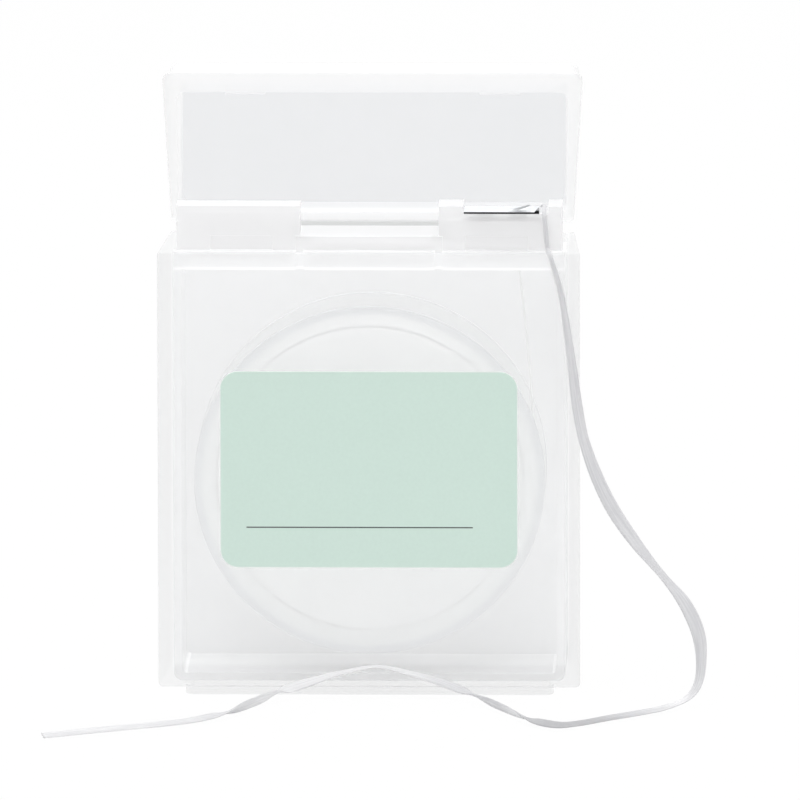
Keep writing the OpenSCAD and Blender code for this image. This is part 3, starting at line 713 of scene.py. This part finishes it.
def turned(name, profile, x, y, z, steps=96):
    """A closed profile of radius and distance along Y, turned once round the axis through x and z."""
    angle = np.linspace(0, 2 * np.pi, steps, endpoint=False)[:, None]
    points = np.stack(
        [
            x + profile[None, :, 0] * np.cos(angle),
            y + profile[None, :, 1] + 0 * angle,
            z + profile[None, :, 0] * np.sin(angle),
        ],
        -1,
    )
    count = len(profile)
    index = np.arange(steps * count).reshape(steps, count)
    after = np.roll(index, -1, 0)
    quads = np.stack([index, np.roll(index, -1, 1), np.roll(after, -1, 1), after], -1).reshape(-1, 4)
    mesh = bpy.data.meshes.new(name)
    mesh.from_pydata(points.reshape(-1, 3).tolist(), [], quads.tolist())
    u = np.repeat(angle[:, 0] * profile[:, 0].max(), count)
    lay_uv(mesh, u, np.tile(profile[:, 1] / sizes().tape_wide, steps))
    recalculated(mesh)
    mesh.shade_smooth()
    return link_mesh(name, mesh)


def wound_tape():
    """The outer turns: one flat tape in a helix about Y, close wound, its ends laid under the last turns."""
    low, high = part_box("floss_winding")
    pack_low, pack_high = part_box("floss_pack")
    centre = (low + high) / 2
    raised, thick, sway = 0.25 * MM, 0.28 * MM, 0.03 * MM
    cover, sways_a_turn = 0.94, 3.7
    radius = (pack_high.x - pack_low.x) / 2 + raised
    width = sizes().turn_pitch * cover
    margin = width / 2 + 0.5 * MM
    first, last = pack_low.y + margin, pack_high.y - margin
    turns = int((last - first) / sizes().turn_pitch)
    angle = np.linspace(0, 2 * np.pi * turns, 72 * turns + 1)
    wander = sway * np.sin(angle * sways_a_turn)
    centres = np.stack(
        [
            centre.x + radius * np.cos(angle),
            first + (last - first) * angle / angle[-1] + wander,
            centre.z + radius * np.sin(angle),
        ],
        -1,
    )
    outward = np.stack([np.cos(angle), 0 * angle, np.sin(angle)], -1)
    across = np.tile([0.0, 1.0, 0.0], (len(angle), 1))
    widths = np.full(len(angle), width)
    return swept("floss_turns", centres, across, outward, widths, thick, section=8)


# Operators


class FLOSS_OT_camera(bpy.types.Operator):
    """Stands a long-lens camera a little above and to the right of the front"""

    bl_idname = "floss.camera"
    bl_label = "Camera"

    def execute(self, context):
        turn, rise, roll = np.radians([1.53, 8.94, -0.11]).tolist()
        focal_px, picture_px = 21913.0, 800
        middle, aside, below = 35 * MM, 3.46 * MM, 0.88 * MM
        lens = bpy.data.cameras.new("camera")
        lens.sensor_width = 36.0
        lens.lens = focal_px * lens.sensor_width / picture_px
        lens.clip_start, lens.clip_end = 0.1, 20.0
        ahead = np.array(
            [-math.sin(turn) * math.cos(rise), math.cos(turn) * math.cos(rise), -math.sin(rise)]
        )
        right = np.array([math.cos(turn), math.sin(turn), 0.0])
        up = np.cross(right, ahead)
        aim = np.array([0, 0, middle]) + right * aside - up * below
        side = right * math.cos(roll) + up * math.sin(roll)
        top = up * math.cos(roll) - right * math.sin(roll)
        matrix = np.eye(4)
        matrix[:3, 0], matrix[:3, 1], matrix[:3, 2] = side, top, -ahead
        matrix[:3, 3] = aim - ahead * sizes().camera_away
        camera = bpy.data.objects.new("camera", lens)
        camera.matrix_world = Matrix(matrix.tolist())
        context.scene.collection.objects.link(camera)
        context.scene.camera = camera
        return {"FINISHED"}


class FLOSS_OT_stage(bpy.types.Operator):
    """Lays a pale floor and sets soft studio light"""

    bl_idname = "floss.stage"
    bl_label = "Stage"

    def execute(self, context):
        scene = context.scene
        scene.view_settings.view_transform = "Standard"
        scene.cycles.transparent_max_bounces = 64
        scene.cycles.diffuse_bounces = 8
        world = bpy.data.worlds.new("studio")
        world.use_nodes = True
        scene.world = world
        tree = world.node_tree
        tree.nodes.clear()
        white = (1, 1, 1, 1)
        daylight, floor_glow, half = 0.52, 0.97, 3.0
        lit = add_node(tree, "ShaderNodeBackground", {"Color": white, "Strength": daylight})
        seen = add_node(tree, "ShaderNodeBackground", {"Color": white, "Strength": 1.0})
        blend = add_node(
            tree,
            "ShaderNodeMixShader",
            None,
            {0: background_share(tree), 1: lit.outputs[0], 2: seen.outputs[0]},
        )
        add_node(tree, "ShaderNodeOutputWorld", links={"Surface": blend.outputs[0]})
        corners = [(-half, -half, 0), (half, -half, 0), (half, half, 0), (-half, half, 0)]
        mesh = bpy.data.meshes.new("floor")
        mesh.from_pydata(corners, [], [(0, 1, 2, 3)])
        floor = link_mesh("floor", mesh)
        material, tree = new_material("floor_paint")
        paint = add_node(tree, "ShaderNodeBsdfDiffuse", {"Color": linear(colours().floor)})
        plain = add_node(tree, "ShaderNodeEmission", {"Color": white, "Strength": 1.0})
        seen_share = {0: background_share(tree)}
        share = add_node(tree, "ShaderNodeMath", {1: floor_glow}, seen_share, operation="MULTIPLY")
        links = {0: share.outputs[0], 1: paint.outputs[0], 2: plain.outputs[0]}
        finish_material(tree, add_node(tree, "ShaderNodeMixShader", None, links))
        mesh.materials.append(material)
        aim = np.array([0, 0, 35 * MM])
        for name, place, size, power in (
            ("key", (-0.15, -0.12, 0.75), 0.7, 3.8),
            ("fill", (0.5, -0.3, 0.25), 0.5, 0.65),
            ("back", (0.05, 0.5, 0.5), 0.5, 1.0),
        ):
            light = bpy.data.lights.new(name, "AREA")
            light.size = size
            light.energy = power
            lamp = bpy.data.objects.new(name, light)
            lamp.location = place
            lamp.rotation_euler = Vector(aim - np.array(place)).to_track_quat("-Z", "Y").to_euler()
            scene.collection.objects.link(lamp)
        return {"FINISHED"}


class FLOSS_OT_case(bpy.types.Operator):
    """Dresses the outer case, the lid and the strip between them in clear polypropylene"""

    bl_idname = "floss.case"
    bl_label = "Case and lid"

    def execute(self, context):
        code = colours()
        foot_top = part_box("outer_case")[0].z + 3.4 * MM
        case_wall, lid_wall = 1.8 * MM, 2.3 * MM
        # The foot and the side walls take the case's painted shade
        foot = (2, foot_top + 0.5 * MM, foot_top)
        clear = polypropylene(
            "polypropylene_clear",
            code.case_clear,
            alpha=0.24,
            roughness=0.28,
            through=0.95,
            thick=(code.case_shade, (foot, *side_walls("outer_case", case_wall)), "MAXIMUM"),
        )
        # The case's and lid's rounded edges: a little more opaque, with a painted highlight where they face
        # up or down
        edge = polypropylene("polypropylene_edge", code.case_edge, alpha=0.5, roughness=0.2, painted_glow=0.3)
        lid_front, lid_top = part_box("lid")[0].y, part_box("lid")[1].z - lid_wall
        # The lid's walls take painted light, its top wall painted shade
        lid_lit_walls = (
            (1, lid_front + 3 * MM, lid_front + 0.5 * MM),
            (2, lid_top - 0.3 * MM, lid_top),
            *side_walls("lid", lid_wall),
        )
        lid = polypropylene(
            "polypropylene_lid",
            code.lid_shaded,
            alpha=0.32,
            roughness=0.28,
            thick=(code.lid_rims_lit, lid_lit_walls, "MAXIMUM"),
        )
        shell = rounded_copy("outer_case", "case_shell", sizes().edge_round, edge=1)
        put(shell, (clear, edge), CASE, "clear_polypropylene", "outer_case")
        cover = rounded_copy("lid", "lid_shell", sizes().edge_round, angle=30, edge=1)
        put(cover, (lid, edge), LID, "clear_polypropylene", "lid")
        strip = hinge_strip()
        # The strip's grey is painted shade
        bent = polypropylene("polypropylene_hinge_shaded", code.hinge, alpha=0.7, roughness=0.4)
        put(strip, bent, None, "clear_polypropylene", "living_hinge")
        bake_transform(strip)
        return {"FINISHED"}


class FLOSS_OT_carrier(bpy.types.Operator):
    """Dresses the spool carrier and the spool in natural polypropylene"""

    bl_idname = "floss.carrier"
    bl_label = "Carrier and spool"

    def execute(self, context):
        code = colours()
        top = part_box("outer_case")[1].z
        # Painted light: lighter from 4 mm up to 2 mm under the case's top than at the floor and above
        lit_inside_case = ((2, top, top - 2 * MM), (2, 2 * MM, 4 * MM))
        # A painted highlight along the lower edge of the deck's front skirt, at this height
        deck_highlight = (top - 2.05 * MM, 0.3 * MM, 0.32)
        natural = polypropylene(
            "polypropylene_natural",
            code.carrier_clear,
            alpha=0.6,
            roughness=0.35,
            thick=(code.carrier_inside_lit, lit_inside_case, "MINIMUM"),
            line=deck_highlight,
        )
        # The carrier's rounded edges, with a painted highlight where they face up or down
        edge = polypropylene(
            "polypropylene_natural_edge", code.carrier_edge, alpha=0.7, roughness=0.3, painted_glow=0.3
        )
        low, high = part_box("spool")
        front, reach = low.y, (high.x - low.x) / 2
        # The painted shade: the front of the spool, near the rim of the flange
        shaded_front_rim = ((3, reach - 1.4 * MM, reach - 0.5 * MM), (1, front + 2 * MM, front + 1 * MM))
        flange = polypropylene(
            "polypropylene_spool",
            code.spool_clear,
            alpha=0.48,
            roughness=0.3,
            through=0.95,
            thick=(code.spool_rim_shade, shaded_front_rim, "MINIMUM"),
        )
        rim = polypropylene("polypropylene_spool_edge", code.spool_edge, alpha=0.3, roughness=0.3)
        small_round = sizes().edge_round * 0.7
        moulding = rounded_copy("spool_carrier", "carrier_moulding", small_round, angle=7, edge=1)
        put(moulding, (natural, edge), CASE, "natural_polypropylene", "spool_carrier")
        reel = rounded_copy("spool", "spool_moulding", small_round, angle=35, edge=1)
        put(reel, (flange, rim), SPOOL, "natural_polypropylene", "spool")
        return {"FINISHED"}


class FLOSS_OT_cutter(bpy.types.Operator):
    """Dresses the pressed cutter in rolled steel"""

    bl_idname = "floss.cutter"
    bl_label = "Cutter"

    def execute(self, context):
        blade = rounded_copy("cutter", "cutter_blade", sizes().steel_round, 1)
        blade.data.shade_flat()
        blade.modifiers.remove(blade.modifiers["Flats"])
        put(blade, rolled_steel(), CASE, "steel", "cutter")
        return {"FINISHED"}


class FLOSS_OT_floss(bpy.types.Operator):
    """Makes the wound pack, the led floss and the free tape"""

    bl_idname = "floss.floss"
    bl_label = "Floss"

    def execute(self, context):
        code = colours()
        free, flat, in_shade, inside = code.floss, code.floss_lit, code.floss_shaded, code.floss_wound
        wound = floss_fibre("floss_wound", ((0, inside),))
        put(wound_pack(), wound, SPOOL, "floss", "floss_pack")
        put(wound_tape(), wound, SPOOL, "floss", "floss_winding")
        thick = sizes().tape_thick
        rows = eased(route_rows(LEAD_ROUTE), spans=0.08, reach=0.3)
        # Painted shade: the led floss turns from the wound floss's near white to the free floss's grey
        led_tones = ((0, inside), (0.6, inside), (0.7, free))
        led = floss_fibre("floss_led", led_tones, run_length(rows[:, :3] * MM))
        put(swept("floss_to_cutter", *tape_frames(rows), thick), led, CASE, "floss", "floss_lead")
        centres, across, face, widths = tape_frames(curve_through(route_rows(TAIL_ROUTE), per=12))
        tail = swept("floss_free_end", centres, across, face, widths, thick)
        length = run_length(centres)
        # Painted light and shade along the free tape
        tail_tones = (
            (0, free),
            (0.32, free),
            (0.36, flat),
            (0.4, free),
            (0.44, in_shade),
            (0.51, in_shade),
            (0.53, flat),
            (0.56, free),
            (0.62, free),
            (0.67, flat),
            (0.8, flat),
            (0.84, free),
            (0.91, flat),
        )
        put(tail, floss_fibre("floss_free", tail_tones, length), CASE, "floss", "floss_tail")
        return {"FINISHED"}


class FLOSS_OT_label(bpy.types.Operator):
    """Dresses the plain label in mint film"""

    bl_idname = "floss.label"
    bl_label = "Label"

    def execute(self, context):
        node = NODES["label"]
        node.data.materials.clear()
        node.data.materials.append(label_film())
        return {"FINISHED"}


class FLOSS_PT_panel(bpy.types.Panel):
    """Lists the pieces and the settings"""

    bl_label = "Floss dispenser"
    bl_space_type = "VIEW_3D"
    bl_region_type = "UI"
    bl_category = "Floss"

    def draw(self, context):
        for step in STEPS:
            self.layout.operator(step.bl_idname)
        for group in (sizes(), colours()):
            for name in group.__annotations__:
                self.layout.prop(group, name)


STEPS = (
    FLOSS_OT_camera,
    FLOSS_OT_floss,
    FLOSS_OT_case,
    FLOSS_OT_carrier,
    FLOSS_OT_cutter,
    FLOSS_OT_label,
    FLOSS_OT_stage,
)
CLASSES = (FlossSizes, FlossColours, *STEPS, FLOSS_PT_panel)


def register():
    """Registers the classes and the settings."""
    for cls in CLASSES:
        bpy.utils.register_class(cls)
    bpy.types.Scene.floss_sizes = PointerProperty(type=FlossSizes)
    bpy.types.Scene.floss_colours = PointerProperty(type=FlossColours)


def unregister():
    """Takes the classes and the settings away again."""
    del bpy.types.Scene.floss_sizes
    del bpy.types.Scene.floss_colours
    for cls in reversed(CLASSES):
        bpy.utils.unregister_class(cls)


def main():
    """Makes every piece in order."""
    register()
    for step in STEPS:
        group, name = step.bl_idname.split(".")
        getattr(getattr(bpy.ops, group), name)()


if __name__ == "__main__":
    main()
